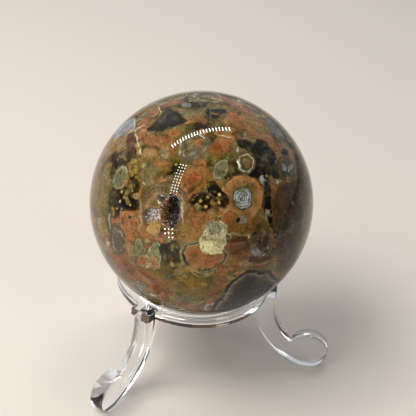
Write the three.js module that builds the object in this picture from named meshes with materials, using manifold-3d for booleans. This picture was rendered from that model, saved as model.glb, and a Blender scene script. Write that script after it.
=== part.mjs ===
// A polished thunderegg sphere with one open crystal pocket, resting on a clear
// three-legged stand: a flat ring with three lugs, and a scroll leg under each lug.
// Units are millimetres, +Z is up and the feet stand on z = 0.

import * as THREE from 'three';
import { mergeVertices } from 'three/addons/utils/BufferGeometryUtils.js';
import Module from 'manifold-3d';

const wasm = await Module();
wasm.setup();

// Driving dimensions

const STONE_RADIUS = 30;
const STONE_DETAIL = 20;          // how finely the ball's faces are divided
const POCKET_DETAIL = 5;
const CRUST_DETAIL = 4;

const LEG_WIDTH = 5.5;            // radial width of the flat strip
const LEG_THICKNESS = 4.0;
const LEG_INNER_RADIUS = 18.1;    // from the stand's axis to the strip's inner edge
const LEG_STRAIGHT = 2.95;        // upright length before the strip bends outward
const BEND_RADIUS = 18.0;         // centreline of the outward bend
const BEND_ANGLE = rad(75.7);
const FOOT_RADIUS = 5.5;          // the round scroll that ends the strip
const EDGE_BEVEL = 0.35;
const ARC_STEPS = 14;
const LEGS = [
  { name: 'leg_right', azimuth: rad(0) },
  { name: 'leg_back_left', azimuth: rad(120) },
  { name: 'leg_front_left', azimuth: rad(240) },
];

const RING_INNER_RADIUS = 18.2;
const RING_OUTER_RADIUS = 21.2;
const RING_HEIGHT = 2.5;
const RING_SEGMENTS = 96;
const LUG_WIDTH = 6.1;
const JOINT_GAP = 0.3;            // glue line between a lug and its leg
const SEAT_GAP = 0.3;             // clearance between the stone and its seat
const SEAT_CONTACT_RADIUS = 18.6;
const RING_TOP_BELOW_STONE = 23.7;  // from the stone's centre down to the ring's top

// The pocket: where it opens on the stone, its rounded lobes and its crystals.
// A lobe's place is given from the mouth's middle: across, up and out of the stone.
const POCKET_AZIMUTH = rad(256.0);
const POCKET_ELEVATION = rad(27.6);
const POCKET_LOBES = [
  { place: [0.3, -0.2, -0.8], radii: [2.9, 4.4, 3.9] },
  { place: [-2.9, -1.9, -0.1], radii: [1.7, 1.7, 1.6] },
  { place: [-4.9, -2.8, -0.2], radii: [1.35, 2.2, 1.5] },
];
const CRUST_GAP = 0.3;            // between the pocket's wall and the crust
const CRUST_THICKNESS = 0.5;
const CRYSTALS_PER_LOBE = [30, 6, 8];
const CRYSTAL_RADIUS = [0.3, 0.52];
const CRYSTAL_LENGTH = [0.7, 1.3];
const CRYSTAL_SIDES = 6;
const CRYSTAL_TIP = 1.3;          // length of the pointed end, in radii
const CRYSTAL_TAPER = 0.92;       // how far the prism narrows up to its pointed end
const CRYSTAL_FIRST = 0.12;       // the highest crystal in a lobe, in the lobe's depth
const CRYSTAL_SPAN = 1.1;         // from the highest crystal down to the lowest
const CRYSTAL_LEAN = 0.35;
const CRUST_TRIM = 0.25;          // the polished face cuts the crystals this far in

// Derived dimensions

const legOuterRadius = LEG_INNER_RADIUS + LEG_WIDTH;
const bendCentreRadius = LEG_INNER_RADIUS + LEG_WIDTH / 2 + BEND_RADIUS;
const underRadius = BEND_RADIUS + LEG_WIDTH / 2;
const upperRadius = BEND_RADIUS - LEG_WIDTH / 2;
const footFromBend = underRadius - FOOT_RADIUS;
const footCentreRadius = bendCentreRadius - footFromBend * Math.cos(BEND_ANGLE);
const footCentreHeight = FOOT_RADIUS * Math.sin(BEND_ANGLE);
const bendCentreHeight = footCentreHeight + footFromBend * Math.sin(BEND_ANGLE);
const legTop = bendCentreHeight + LEG_STRAIGHT;
const ringBottom = legTop + JOINT_GAP;
const ringTop = ringBottom + RING_HEIGHT;
const stoneHeight = ringTop + RING_TOP_BELOW_STONE;

// The stand's axis is set back so that the whole object is centred on the origin.
const footReach = footCentreRadius + FOOT_RADIUS;
const axisX = (STONE_RADIUS - footReach) / 2;

function rad(degrees) {
  return degrees * Math.PI / 180;
}

function toSolid(geometry) {
  const bare = geometry.clone();
  bare.deleteAttribute('normal');
  bare.deleteAttribute('uv');
  const merged = mergeVertices(bare, 1e-4);
  const mesh = new wasm.Mesh({
    numProp: 3,
    vertProperties: new Float32Array(merged.attributes.position.array),
    triVerts: new Uint32Array(merged.index.array),
  });
  return new wasm.Manifold(mesh);
}

function toGeometry(solid) {
  const mesh = solid.getMesh();
  const geometry = new THREE.BufferGeometry();
  geometry.setAttribute('position', new THREE.BufferAttribute(new Float32Array(mesh.vertProperties), 3));
  geometry.setIndex(new THREE.BufferAttribute(new Uint32Array(mesh.triVerts), 1));
  geometry.computeVertexNormals();
  return geometry;
}

function clearAcrylic() {
  return new THREE.MeshStandardMaterial({
    color: 0xe8eef0, roughness: 0.05, metalness: 0, transparent: true, opacity: 0.35,
  });
}

// A ball of nearly even triangles, with corners straight above, below and beside its middle.
function ball(radius, detail) {
  return new THREE.OctahedronGeometry(radius, detail);
}

// The frame at the pocket's mouth: x across, y up along the stone, z out of it.
function pocketFrame() {
  const out = new THREE.Vector3(
    Math.cos(POCKET_ELEVATION) * Math.cos(POCKET_AZIMUTH),
    Math.cos(POCKET_ELEVATION) * Math.sin(POCKET_AZIMUTH),
    Math.sin(POCKET_ELEVATION),
  );
  const across = new THREE.Vector3(0, 0, 1).cross(out).normalize();
  const up = out.clone().cross(across);
  const frame = new THREE.Matrix4().makeBasis(across, up, out);
  return frame.setPosition(out.clone().multiplyScalar(STONE_RADIUS));
}

// The pocket's lobes joined in one solid, each drawn in by the given inset.
function pocketSolid(inset, detail) {
  const frame = pocketFrame();
  const lobes = POCKET_LOBES.map(({ place, radii }) => {
    const lobe = ball(1, detail);
    lobe.scale(radii[0] - inset, radii[1] - inset, radii[2] - inset);
    lobe.translate(place[0], place[1], place[2]);
    lobe.applyMatrix4(frame);
    return toSolid(lobe);
  });
  return lobes.reduce((joined, lobe) => joined.add(lobe));
}

function stoneMesh() {
  const whole = toSolid(ball(STONE_RADIUS, STONE_DETAIL));
  const hollowed = whole.subtract(pocketSolid(0, POCKET_DETAIL));
  const material = new THREE.MeshStandardMaterial({ color: 0xa8774c, roughness: 0.12, metalness: 0 });
  return new THREE.Mesh(toGeometry(hollowed), material);
}

// A six-sided quartz point that stands on its base at the origin, along +Z.
function quartzPoint(radius, length) {
  const tip = radius * CRYSTAL_TIP;
  const profile = [
    new THREE.Vector2(0, 0),
    new THREE.Vector2(radius, 0),
    new THREE.Vector2(radius * CRYSTAL_TAPER, length - tip),
    new THREE.Vector2(0, length),
  ];
  const point = new THREE.LatheGeometry(profile, CRYSTAL_SIDES);
  point.rotateX(Math.PI / 2);
  return point;
}

// A share from 0 to 1 that jumps about from one crystal to the next, in the given steps.
function mixed(index, steps) {
  return (index * 3 % steps) / (steps - 1);
}

// Points spread evenly over a lobe's inner wall, each leaning towards its middle.
function lobeCrystals({ place, radii }, count, frame) {
  const goldenAngle = Math.PI * (3 - Math.sqrt(5));
  const inset = CRUST_GAP + CRUST_THICKNESS / 2;
  const crystals = [];
  for (let i = 0; i < count; i += 1) {
    const height = CRYSTAL_FIRST - CRYSTAL_SPAN * (i + 0.5) / count;
    const ringRadius = Math.sqrt(1 - height * height);
    const turn = i * goldenAngle;
    const wall = new THREE.Vector3(
      (radii[0] - inset) * ringRadius * Math.cos(turn),
      (radii[1] - inset) * ringRadius * Math.sin(turn),
      (radii[2] - inset) * height,
    );
    const radius = THREE.MathUtils.lerp(...CRYSTAL_RADIUS, mixed(i, 5));
    const length = THREE.MathUtils.lerp(...CRYSTAL_LENGTH, mixed(i, 7));
    const lean = new THREE.Vector3(Math.sin(i * 2.4), Math.cos(i * 1.7), 0.6).multiplyScalar(CRYSTAL_LEAN);
    const aim = wall.clone().normalize().negate().add(lean).normalize();
    const crystal = quartzPoint(radius, length);
    crystal.applyQuaternion(new THREE.Quaternion().setFromUnitVectors(new THREE.Vector3(0, 0, 1), aim));
    crystal.translate(wall.x + place[0], wall.y + place[1], wall.z + place[2]);
    crystal.applyMatrix4(frame);
    crystals.push(toSolid(crystal));
  }
  return crystals;
}

// One crust lines the whole pocket: a thin shell with crystal points grown from it,
// cut back to the polished face.
function crustMesh() {
  const frame = pocketFrame();
  const outer = pocketSolid(CRUST_GAP, CRUST_DETAIL);
  let crust = outer.subtract(pocketSolid(CRUST_GAP + CRUST_THICKNESS, CRUST_DETAIL));
  POCKET_LOBES.forEach((lobe, index) => {
    lobeCrystals(lobe, CRYSTALS_PER_LOBE[index], frame).forEach((crystal) => {
      crust = crust.add(crystal.intersect(outer));
    });
  });
  crust = crust.intersect(toSolid(ball(STONE_RADIUS - CRUST_TRIM, STONE_DETAIL)));
  const material = new THREE.MeshStandardMaterial({ color: 0xb9b4ae, roughness: 0.2, metalness: 0 });
  return new THREE.Mesh(toGeometry(crust), material);
}

// The ring's section, with a sloping seat that the stone would touch all round.
function ringBand() {
  const reach = STONE_RADIUS + SEAT_GAP;
  const slope = Math.asin(SEAT_CONTACT_RADIUS / reach);
  const contactHeight = stoneHeight - reach * Math.cos(slope);
  const seatTopRadius = SEAT_CONTACT_RADIUS + (ringTop - contactHeight) / Math.tan(slope);
  const seatFoot = contactHeight - (SEAT_CONTACT_RADIUS - RING_INNER_RADIUS) * Math.tan(slope);
  const profile = [
    new THREE.Vector2(RING_INNER_RADIUS, ringBottom),
    new THREE.Vector2(RING_OUTER_RADIUS, ringBottom),
    new THREE.Vector2(RING_OUTER_RADIUS, ringTop),
    new THREE.Vector2(seatTopRadius, ringTop),
    new THREE.Vector2(RING_INNER_RADIUS, seatFoot),
    new THREE.Vector2(RING_INNER_RADIUS, ringBottom),
  ];
  const band = new THREE.LatheGeometry(profile, RING_SEGMENTS);
  band.rotateX(Math.PI / 2);
  return band;
}

// A square lug that stands out of the ring over each leg.
function lug(azimuth) {
  const innerRadius = (RING_INNER_RADIUS + RING_OUTER_RADIUS) / 2;
  const block = new THREE.BoxGeometry(legOuterRadius - innerRadius, LUG_WIDTH, RING_HEIGHT);
  block.translate((legOuterRadius + innerRadius) / 2, 0, ringBottom + RING_HEIGHT / 2);
  block.rotateZ(azimuth);
  return block;
}

function ringMesh() {
  let ring = toSolid(ringBand());
  LEGS.forEach(({ azimuth }) => {
    ring = ring.add(toSolid(lug(azimuth)));
  });
  return new THREE.Mesh(toGeometry(ring), clearAcrylic());
}

// The leg's outline in the upright plane through the stand's axis: down the inner
// edge, out along the underside, over the flat it stands on, round the foot and back
// up the hollow of the bend. The flat starts where the underside runs into the foot.
function legOutline() {
  const reachCosine = (upperRadius ** 2 + footFromBend ** 2 - FOOT_RADIUS ** 2) / (2 * upperRadius * footFromBend);
  const notchAngle = Math.PI + BEND_ANGLE - Math.acos(reachCosine);
  const notch = new THREE.Vector2(
    bendCentreRadius + upperRadius * Math.cos(notchAngle),
    bendCentreHeight + upperRadius * Math.sin(notchAngle),
  );
  const footCentre = new THREE.Vector2(footCentreRadius, footCentreHeight);
  const footStart = notch.clone().sub(footCentre).angle();
  const outline = new THREE.Shape();
  outline.moveTo(LEG_INNER_RADIUS, legTop);
  outline.lineTo(LEG_INNER_RADIUS, bendCentreHeight);
  outline.absarc(bendCentreRadius, bendCentreHeight, underRadius, Math.PI, Math.PI + BEND_ANGLE, false);
  outline.absarc(footCentre.x, footCentre.y, FOOT_RADIUS, -BEND_ANGLE, footStart, false);
  outline.absarc(bendCentreRadius, bendCentreHeight, upperRadius, notchAngle, Math.PI, true);
  outline.lineTo(legOuterRadius, legTop);
  return new THREE.Shape(withoutRepeats(outline.getPoints(ARC_STEPS)));
}

// Where an arc begins on the point that the line before it ended on, one is kept.
function withoutRepeats(points) {
  return points.filter((point, i) => point.distanceTo(points.at(i - 1)) > 1e-3);
}

// A leg is cut from flat sheet, so its outline is given the sheet's thickness and
// softened along its edges, then stood upright.
function legMesh(azimuth) {
  const leg = new THREE.ExtrudeGeometry(legOutline(), {
    depth: LEG_THICKNESS - 2 * EDGE_BEVEL,
    bevelEnabled: true,
    bevelThickness: EDGE_BEVEL,
    bevelSize: EDGE_BEVEL,
    bevelOffset: -EDGE_BEVEL,
    bevelSegments: 1,
  });
  leg.translate(0, 0, EDGE_BEVEL - LEG_THICKNESS / 2);
  leg.rotateX(Math.PI / 2);
  const mesh = new THREE.Mesh(toGeometry(toSolid(leg)), clearAcrylic());
  mesh.rotation.z = azimuth;
  return mesh;
}

function place(parent, name, mesh, height = 0) {
  mesh.name = name;
  mesh.position.z = height;
  parent.add(mesh);
}

const thunderegg = new THREE.Group();
thunderegg.name = 'thunderegg_on_stand';
thunderegg.position.x = axisX;

const polishedStone = new THREE.Group();
place(polishedStone, 'stone', stoneMesh(), stoneHeight);
place(polishedStone, 'vug_crystals', crustMesh(), stoneHeight);

const stand = new THREE.Group();
place(stand, 'stand_ring', ringMesh());
LEGS.forEach(({ name, azimuth }) => place(stand, name, legMesh(azimuth)));

thunderegg.add(polishedStone, stand);

export default thunderegg;
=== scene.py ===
"""A polished thunderegg sphere with one open crystal pocket on a clear three-legged stand.

Lengths in the constants are millimetres, as in the solid model; the mesh code
turns them to metres. The stone's markings are ellipses and a few straight-sided
outlines laid on its surface, each with its own run of colours from the middle to
the edge, bent by noise.
"""
import math
import random

import bmesh
import bpy
from mathutils import Matrix, Vector, noise
from mathutils.geometry import tessellate_polygon


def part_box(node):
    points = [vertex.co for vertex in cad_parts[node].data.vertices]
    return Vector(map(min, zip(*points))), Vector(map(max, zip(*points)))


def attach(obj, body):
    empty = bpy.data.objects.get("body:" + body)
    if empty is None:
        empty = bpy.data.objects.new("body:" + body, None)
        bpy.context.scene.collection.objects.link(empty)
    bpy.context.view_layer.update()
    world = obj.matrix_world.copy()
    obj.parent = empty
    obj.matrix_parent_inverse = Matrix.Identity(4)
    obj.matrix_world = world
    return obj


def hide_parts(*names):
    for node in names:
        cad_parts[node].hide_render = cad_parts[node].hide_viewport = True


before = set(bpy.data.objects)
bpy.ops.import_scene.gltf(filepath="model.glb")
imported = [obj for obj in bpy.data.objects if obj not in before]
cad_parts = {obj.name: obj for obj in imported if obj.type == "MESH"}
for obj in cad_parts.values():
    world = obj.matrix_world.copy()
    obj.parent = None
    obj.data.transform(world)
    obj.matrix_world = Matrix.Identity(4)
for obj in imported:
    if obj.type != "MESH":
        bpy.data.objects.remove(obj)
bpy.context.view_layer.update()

MM = 0.001

# The stone, from the frame.
stone_low, stone_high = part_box("stone")
STONE_CENTRE = (Vector(stone_low) + Vector(stone_high)) / (2 * MM)
STONE_RADIUS = (stone_high[2] - stone_low[2]) / (2 * MM)
RING_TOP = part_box("stand_ring")[1][2] / MM
RING_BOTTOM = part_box("stand_ring")[0][2] / MM

# The stand's driving dimensions.
LEG_WIDTH = 5.5
# The leg's finer outline is drawn in a little, so that it stays inside the solid's box.
LEG_CLEARANCE = 0.06
LEG_THICKNESS = 4.0
LEG_INNER_RADIUS = 18.1
LEG_STRAIGHT = 2.95
BEND_RADIUS = 18.0
BEND_ANGLE = math.radians(75.7)
FOOT_RADIUS = 5.5
EDGE_ROUNDING = 0.35
LEG_AZIMUTHS = {"leg_right": 0, "leg_back_left": 120, "leg_front_left": 240}
RING_INNER_RADIUS = 18.2
RING_OUTER_RADIUS = 21.2
RING_ROUNDING = 0.22
LUG_WIDTH = 6.1
LUG_REACH = LEG_INNER_RADIUS + LEG_WIDTH
SEAT_CONTACT_RADIUS = 18.6
SEAT_GAP = 0.3
# How many steps each curve is drawn in, and the least bend that a drawn-in corner allows for.
ROUNDING_STEPS = 4
BEND_STEPS = 48
FOOT_STEPS = 72
RING_STEPS = 84
LUG_SIDE_STEPS = 3
LUG_END_STEPS = 8
CORNER_LIMIT = 0.3
LEG_SHARP_ANGLE = 40
RING_SHARP_ANGLE = 35

# The pocket: the middle of its mouth, and its lobes as place and radii measured
# across, up and out of the stone.
POCKET_AZIMUTH = math.radians(256.0)
POCKET_ELEVATION = math.radians(27.6)
POCKET_LOBES = [
    ((0.3, -0.2, -0.8), (2.9, 4.4, 3.9)),
    ((-2.9, -1.9, -0.1), (1.7, 1.7, 1.6)),
    ((-4.9, -2.8, -0.2), (1.35, 2.2, 1.5)),
]
CRYSTALS_PER_LOBE = (1100, 150, 240)
CRYSTAL_RADIUS = (0.14, 0.42)
CRYSTAL_LENGTH = (0.45, 1.25)
CRYSTAL_SCALE = (0.6, 0.95, 0.85)
CRYSTAL_SEED = 11
# A crystal's root sits this far inside the wall, its sides narrow by this share, its tip is
# this many times its radius long, and its aim is scattered by this much.
CRYSTAL_ROOT = 0.1
CRYSTAL_TAPER = 0.94
CRYSTAL_TIP = 1.15
CRYSTAL_LEAN = 0.32
# No crystal grows this deep inside another lobe, or this near to the polished face.
LOBE_OVERLAP = 0.15
CRUST_TRIM = 0.3
POCKET_LUMPINESS = 0.06
POCKET_LUMP_SCALE = 2.6
POCKET_SUBDIVISIONS = 5
STONE_SUBDIVISIONS = 6
# A face nearer to the ball's surface than this is polished.
POLISHED_SKIN = 0.03

# How the pocket's colour runs across it, between two pixels of the photographed view, and the
# painted shade that darkens it down to a depth.
POCKET_LEFT, POCKET_RIGHT, POCKET_MIDDLE = 142, 186, 213
POCKET_RUN = [(0, "5c5654"), (0.16, "7c7674"), (0.3, "a8a29c"), (0.38, "b8aea2"), (0.43, "c09a6c"),
              (0.57, "9a6c40"), (0.64, "2c1b0e"), (0.74, "0c0a08"), (0.82, "3c3936"), (0.9, "98928a")]
POCKET_DEPTH = 5.0
POCKET_PAINTED_SHADE = [(0.05, (1, 1, 1)), (0.5, (0.85, 0.82, 0.78)), (0.95, (0.35, 0.3, 0.26))]
CRYSTAL_GRAIN = [(0.35, "2c2018"), (0.5, "7c6c5c"), (0.66, "e4e4e6")]
WALL_GRAIN = [(0.3, "17120e"), (0.6, "4d3a2a"), (0.8, "84705a")]
QUARTZ_IOR = 1.54

ACRYLIC_COLOUR = (0.985, 0.992, 0.995, 1)
ACRYLIC_IOR = 1.49
ACRYLIC_ROUGHNESS = [(0.35, (0.012,) * 3), (0.75, (0.035,) * 3)]
ACRYLIC_ABSORPTION = (0.80, 0.90, 0.94, 1)
ACRYLIC_DENSITY = 12.0

# Rows of small lamps whose reflections show on the polish: name, first and last pixel,
# how far the row bows out, count, and half the size of each glint across and along the row.
LAMP_ROWS = (
    ("lamps_top", (172.5, 146), (229.5, 129), (-2, -5), 20, 1.8, 0.5),
    ("lamps_left", (180.6, 164.4), (170.6, 193.2), (-1, 0), 11, 0.5, 0.55),
    ("lamps_middle", (183.3, 165), (173.3, 193.8), (-1, 0), 11, 0.5, 0.55),
    ("lamps_right", (186, 165.6), (176, 194.4), (-1, 0), 11, 0.5, 0.55),
    ("lamps_low_left", (165, 229), (165, 237.5), (0, 0), 3, 0.7, 0.7),
    ("lamps_low_middle", (168.7, 229), (168.7, 237.5), (0, 0), 3, 0.7, 0.7),
    ("lamps_low_right", (172.4, 229), (172.4, 237.5), (0, 0), 3, 0.7, 0.7),
)
LAMP_DISTANCE = 420.0
LAMP_STRENGTH = 60.0
# Soft lights: name, direction, distance, width, height, watts and colour.
SOFT_LIGHTS = (
    ("window", (-0.62, -0.25, 0.85), 800, 520, 420, 8.0, (1.0, 0.98, 0.95)),
    ("front_fill", (-0.3, -0.93, 0.12), 800, 420, 240, 3.6, (1.0, 0.95, 0.86)),
    ("fill", (0.8, -0.5, 0.35), 900, 300, 300, 2.0, (1.0, 0.93, 0.85)),
)
# Soft lights that fall on the clear stand alone, as windows low on either side would.
STAND_LIGHTS = (
    ("stand_window_left", (-0.9, -0.25, 0.45), 600, 220, 300, 1.6, (0.86, 0.93, 1.0)),
    ("stand_window_right", (0.75, 0.4, 0.5), 600, 160, 260, 1.2, (0.86, 0.93, 1.0)),
)
# The sky's colour, and its strength, dim on the viewer's side and brighter behind the object.
SKY_COLOUR = (0.92, 0.95, 1.0, 1)
SKY_GLOW = (("From Min", -0.2), ("From Max", 0.7), ("To Min", 0.13), ("To Max", 0.58))
FLOOR_COLOUR = (0.5, 0.46, 0.415, 1)
FLOOR_ROUGHNESS = 0.6
FLOOR_REACH = 3000
SQUARE = ((-1, -1), (1, -1), (1, 1), (-1, 1))

# The camera, measured from the stone's centre, in millimetres.
CAMERA_PLACE = Vector((15.4806, -310.9266, 210.8699))
CAMERA_RIGHT = Vector((0.989234, 0.109489, 0.097097))
CAMERA_UP = Vector((-0.141836, 0.553960, 0.820372))
CAMERA_FORWARD = Vector((-0.0360339, 0.825312, -0.563526))
SENSOR_WIDTH = 36.0
FOCAL_PIXELS = 1400
FRAME_PIXELS = 416
CAMERA_CLIP = (0.01, 20)


# Mesh helpers

def mesh_object(name, vertices, faces, material):
    """An object made from points in millimetres, in the frame's own place."""
    mesh = bpy.data.meshes.new(name)
    mesh.from_pydata([Vector(v) * MM for v in vertices], [], faces)
    mesh.validate()
    mesh.update()
    obj = bpy.data.objects.new(name, mesh)
    bpy.context.scene.collection.objects.link(obj)
    mesh.materials.append(material)
    return obj


def applied(obj):
    """The object's mesh with its modifiers applied."""
    bpy.context.view_layer.update()
    evaluated = obj.evaluated_get(bpy.context.evaluated_depsgraph_get())
    return bpy.data.meshes.new_from_object(evaluated)


def object_from(bm, name):
    """An object made from a mesh that was built in metres."""
    mesh = bpy.data.meshes.new(name)
    bm.to_mesh(mesh)
    bm.free()
    obj = bpy.data.objects.new(name, mesh)
    bpy.context.scene.collection.objects.link(obj)
    return obj


def outward(obj, angle):
    """Turns the faces outwards and shades them smooth, apart from edges sharper than the angle."""
    bm = bmesh.new()
    bm.from_mesh(obj.data)
    bmesh.ops.recalc_face_normals(bm, faces=bm.faces)
    bm.to_mesh(obj.data)
    bm.free()
    obj.data.shade_smooth()
    obj.data.set_sharp_from_angle(angle=math.radians(angle))
    return obj


# Materials: a small language for node trees

class Tree:
    """A node tree whose nodes are added one after another: a material's, or a group's."""

    def __init__(self, tree):
        self.tree = tree
        self.nodes = tree.nodes
        self.links = tree.links
        self.nodes.clear()

    def add(self, kind, **settings):
        node = self.nodes.new(kind)
        for key, value in settings.items():
            setattr(node, key, value)
        return node

    def put(self, socket, value):
        """Links a socket's value, or sets it where it is a plain number or tuple."""
        if isinstance(value, bpy.types.NodeSocket):
            self.links.new(value, socket)
        else:
            socket.default_value = value

    def math(self, operation, a, b=0.0, c=None, clamp=False):
        node = self.add("ShaderNodeMath", operation=operation, use_clamp=clamp)
        self.put(node.inputs[0], a)
        self.put(node.inputs[1], b)
        if c is not None:
            self.put(node.inputs[2], c)
        return node.outputs[0]

    def vector(self, operation, a, b=(0, 0, 0)):
        node = self.add("ShaderNodeVectorMath", operation=operation)
        self.put(node.inputs[0], a)
        self.put(node.inputs[1], b)
        return node.outputs["Value"] if operation in ("LENGTH", "DOT_PRODUCT") else node.outputs["Vector"]

    def scaled(self, a, factor):
        node = self.add("ShaderNodeVectorMath", operation="SCALE")
        self.put(node.inputs[0], a)
        self.put(node.inputs["Scale"], factor)
        return node.outputs["Vector"]

    def mix(self, factor, a, b, blend="MIX"):
        node = self.add("ShaderNodeMix", data_type="RGBA", blend_type=blend)
        self.put(node.inputs["Factor"], factor)
        self.put(node.inputs["A"], a)
        self.put(node.inputs["B"], b)
        return node.outputs["Result"]

    def parts(self, colour):
        """The three numbers of a colour."""
        node = self.add("ShaderNodeSeparateColor")
        self.put(node.inputs[0], colour)
        return node.outputs

    def noise(self, place, size, detail=2.0, roughness=0.5, colour=False):
        """Noise whose lumps are about size millimetres across."""
        node = self.add("ShaderNodeTexNoise")
        self.put(node.inputs["Vector"], place)
        node.inputs["Scale"].default_value = 1 / size
        node.inputs["Detail"].default_value = detail
        node.inputs["Roughness"].default_value = roughness
        return node.outputs["Color"] if colour else node.outputs["Fac"]

    def cells(self, place, size):
        """Distance to the nearest of points scattered about size millimetres apart."""
        node = self.add("ShaderNodeTexVoronoi")
        self.put(node.inputs["Vector"], place)
        node.inputs["Scale"].default_value = 1 / size
        return node

    def ramp(self, value, stops):
        """stops is a list of (position, colour), where a colour has three or four numbers."""
        node = self.add("ShaderNodeValToRGB")
        ramp = node.color_ramp
        while len(ramp.elements) < len(stops):
            ramp.elements.new(1.0)
        for element, (position, colour) in zip(ramp.elements, stops):
            element.position = position
            element.color = colour if len(colour) == 4 else (*colour, 1.0)
        self.put(node.inputs["Fac"], value)
        return node


class Material(Tree):
    """A material with one shader, whose places are in millimetres."""

    def __init__(self, name):
        self.material = bpy.data.materials.new(name)
        self.material.use_nodes = True
        super().__init__(self.material.node_tree)
        self.shader = self.add("ShaderNodeBsdfPrincipled")
        self.output = self.add("ShaderNodeOutputMaterial")
        self.links.new(self.shader.outputs[0], self.output.inputs["Surface"])
        self.place = self.scaled(self.add("ShaderNodeTexCoord").outputs["Object"], 1 / MM)

    def set(self, **values):
        for key, value in values.items():
            self.put(self.shader.inputs[key.replace("_", " ")], value)


class Group(Tree):
    """A group of nodes, used in a tree as one node."""

    SOCKETS = {"vector": "NodeSocketVector", "colour": "NodeSocketColor", "number": "NodeSocketFloat"}

    def __init__(self, name, inputs, outputs):
        self.group = bpy.data.node_groups.new(name, "ShaderNodeTree")
        super().__init__(self.group)
        for direction, sockets in (("INPUT", inputs), ("OUTPUT", outputs)):
            for socket, kind in sockets:
                self.group.interface.new_socket(socket, in_out=direction, socket_type=self.SOCKETS[kind])
        self.inputs = self.add("NodeGroupInput").outputs

    def finish(self, *values):
        output = self.add("NodeGroupOutput")
        for socket, value in zip(output.inputs, values):
            self.put(socket, value)
        return self.group


def rgb(text):
    """A colour from its six screen digits, as linear numbers."""
    def linear(part):
        c = int(part, 16) / 255
        return c / 12.92 if c <= 0.04045 else ((c + 0.055) / 1.055) ** 2.4
    return tuple(linear(text[i:i + 2]) for i in (0, 2, 4))


def in_rgb(stops):
    return [(at, rgb(text)) for at, text in stops]


def clear_acrylic():
    tree = Material("clear_acrylic")
    wear = tree.noise(tree.place, 2.2, detail=3)
    roughness = tree.ramp(wear, ACRYLIC_ROUGHNESS).outputs["Color"]
    tree.set(Base_Color=ACRYLIC_COLOUR, IOR=ACRYLIC_IOR, Roughness=roughness, Transmission_Weight=1.0)
    absorb = tree.add("ShaderNodeVolumeAbsorption")
    absorb.inputs["Color"].default_value = ACRYLIC_ABSORPTION
    absorb.inputs["Density"].default_value = ACRYLIC_DENSITY
    tree.links.new(absorb.outputs[0], tree.output.inputs["Volume"])
    return tree.material


def pocket_colour(tree, grain, share):
    """The pocket's colour from its pale left end to its dark middle and grey right wall, with painted shade
    darkening it with depth.
    """
    from_centre = tree.vector("SUBTRACT", tree.place, tuple(STONE_CENTRE))
    across = tree.vector("DOT_PRODUCT", from_centre, tuple(LAYOUT_RIGHT))
    start = on_layout(POCKET_LEFT, POCKET_MIDDLE)[0]
    end = on_layout(POCKET_RIGHT, POCKET_MIDDLE)[0]
    place = tree.math("MULTIPLY_ADD", across, 1 / (end - start), -start / (end - start))
    base = tree.ramp(place, in_rgb(POCKET_RUN)).outputs["Color"]
    # Painted shade: the deeper a place lies below the ball's surface, the darker its colour.
    depth = tree.math("MULTIPLY_ADD", tree.vector("LENGTH", from_centre), -1 / POCKET_DEPTH,
                      STONE_RADIUS / POCKET_DEPTH)
    painted_shade = tree.ramp(depth, POCKET_PAINTED_SHADE)
    mottled = tree.mix(share, base, grain)
    return tree.mix(1.0, mottled, painted_shade.outputs["Color"], blend="MULTIPLY")


def pocket_material(name, lump, detail, stops, share, **looks):
    """The crystals, or the wall behind them: grained, coloured across the pocket, and darkened with depth by
    painted shade.
    """
    tree = Material(name)
    grain = tree.ramp(tree.noise(tree.place, lump, detail=detail), in_rgb(stops))
    tree.set(Base_Color=pocket_colour(tree, grain.outputs["Color"], share), **looks)
    return tree.material


# The stone's markings are laid out on a plane that faces its front: the kind, across and
# down in pixels of the 416-pixel frame, half sizes in the same pixels, the turn in degrees
# anticlockwise, then one or two colours as screen digits. A later one lies over an earlier.
LAYOUT_RIGHT, LAYOUT_UP, LAYOUT_OUT = CAMERA_RIGHT, CAMERA_UP, -CAMERA_FORWARD
PIXELS_PER_MM = 3.9

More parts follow.
